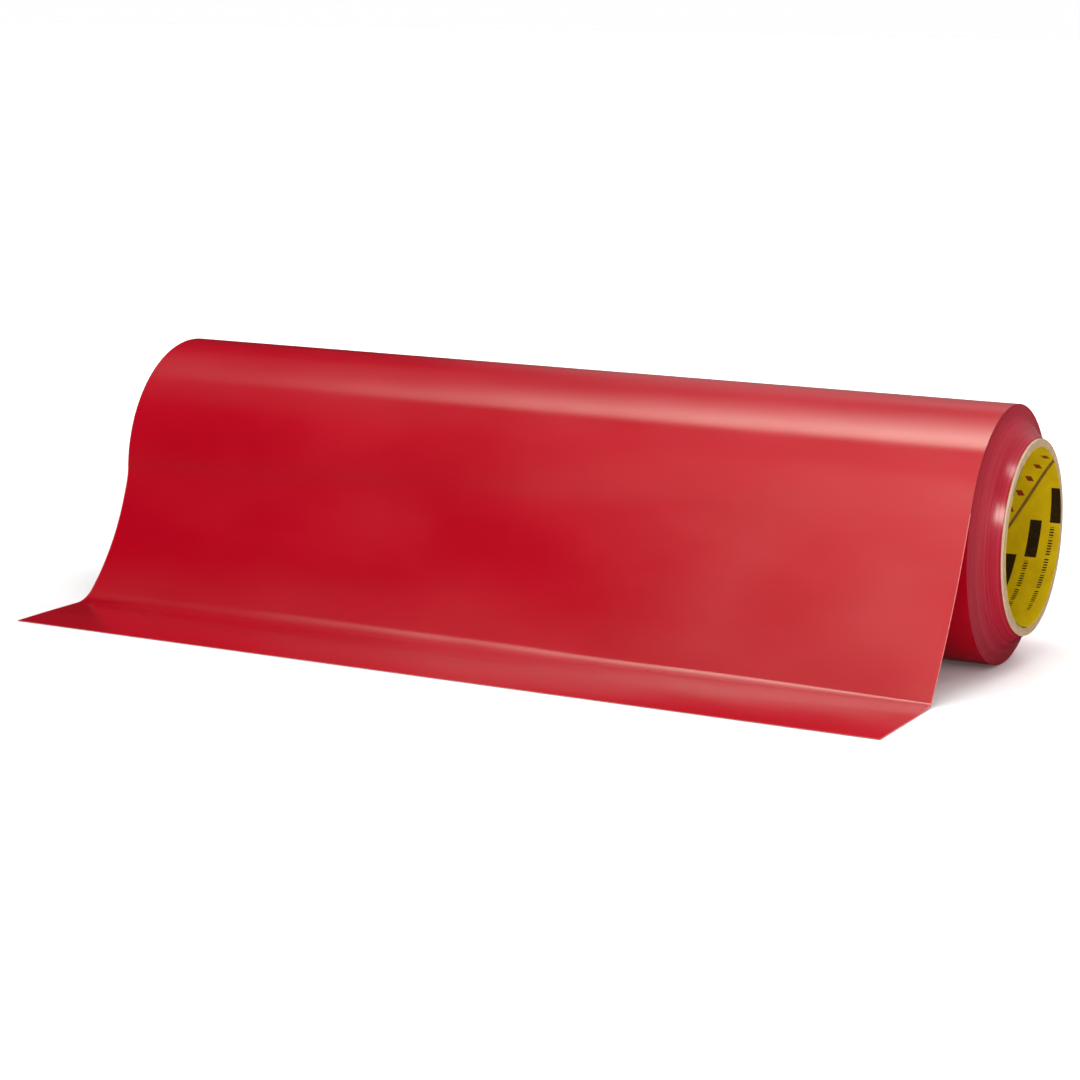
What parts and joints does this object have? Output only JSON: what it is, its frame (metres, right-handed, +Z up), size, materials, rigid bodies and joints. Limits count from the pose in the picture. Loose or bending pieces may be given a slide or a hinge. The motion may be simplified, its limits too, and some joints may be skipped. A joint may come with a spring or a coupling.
{
  "type": "vinyl film roll",
  "caption": "Wide roll of glossy red vinyl film on a board core, slid out at one end, with the film's free end drawn over the front and laid flat on the bench.",
  "frame": {"origin": "on the axis of the core's bore, halfway along the film's width", "axes": "+X along the roll, towards the end where the core stands out; -Y the side on which the film comes off; +Z up"},
  "size_m": [0.4174, 0.2015, 0.111],
  "materials": {
    "film": "glossy calendered vinyl, slightly translucent",
    "film_wound": "slit edges of many turns, burnished",
    "adhesive": "clear adhesive coat over red film",
    "start_tape": "double-sided tape",
    "printed_liner": "calendered paper with a plain geometric print",
    "core_kraft_board": "kraft board",
    "core_outer_board": "smooth pale board"
  },
  "bodies": {
    "free_end": {"adhesive_lead": "adhesive", "film_lead": "film"},
    "roll": {"core_printed_liner": "printed_liner", "core_body_ply_1": "core_kraft_board", "core_body_ply_2": "core_kraft_board", "core_body_ply_3": "core_kraft_board", "core_body_ply_4": "core_kraft_board", "core_body_ply_5": "core_kraft_board", "core_body_ply_6": "core_kraft_board", "core_outer_ply": "core_outer_board", "film_start_tape": "start_tape", "film_first_turn": "film_wound", "film_pack": "film_wound", "adhesive_outer_turn": "adhesive", "film_outer_turn": "film"},
    "foot": {"adhesive_foot": "adhesive", "film_foot": "film"}
  },
  "joints": [
    {"name": "unwind", "type": "hinge", "parent": "free_end", "child": "roll", "pos_m": [0, 0, 0], "axis": [1, 0, 0], "range_deg": [0, 120]},
    {"name": "pay_out", "type": "slide", "parent": "free_end", "child": "foot", "axis": [0, -1, 0], "range_m": [0, 0.1165]}
  ],
  "couplings": [
    {"joint": "pay_out", "follows": "unwind", "m_per_rad": 0.0555}
  ]
}
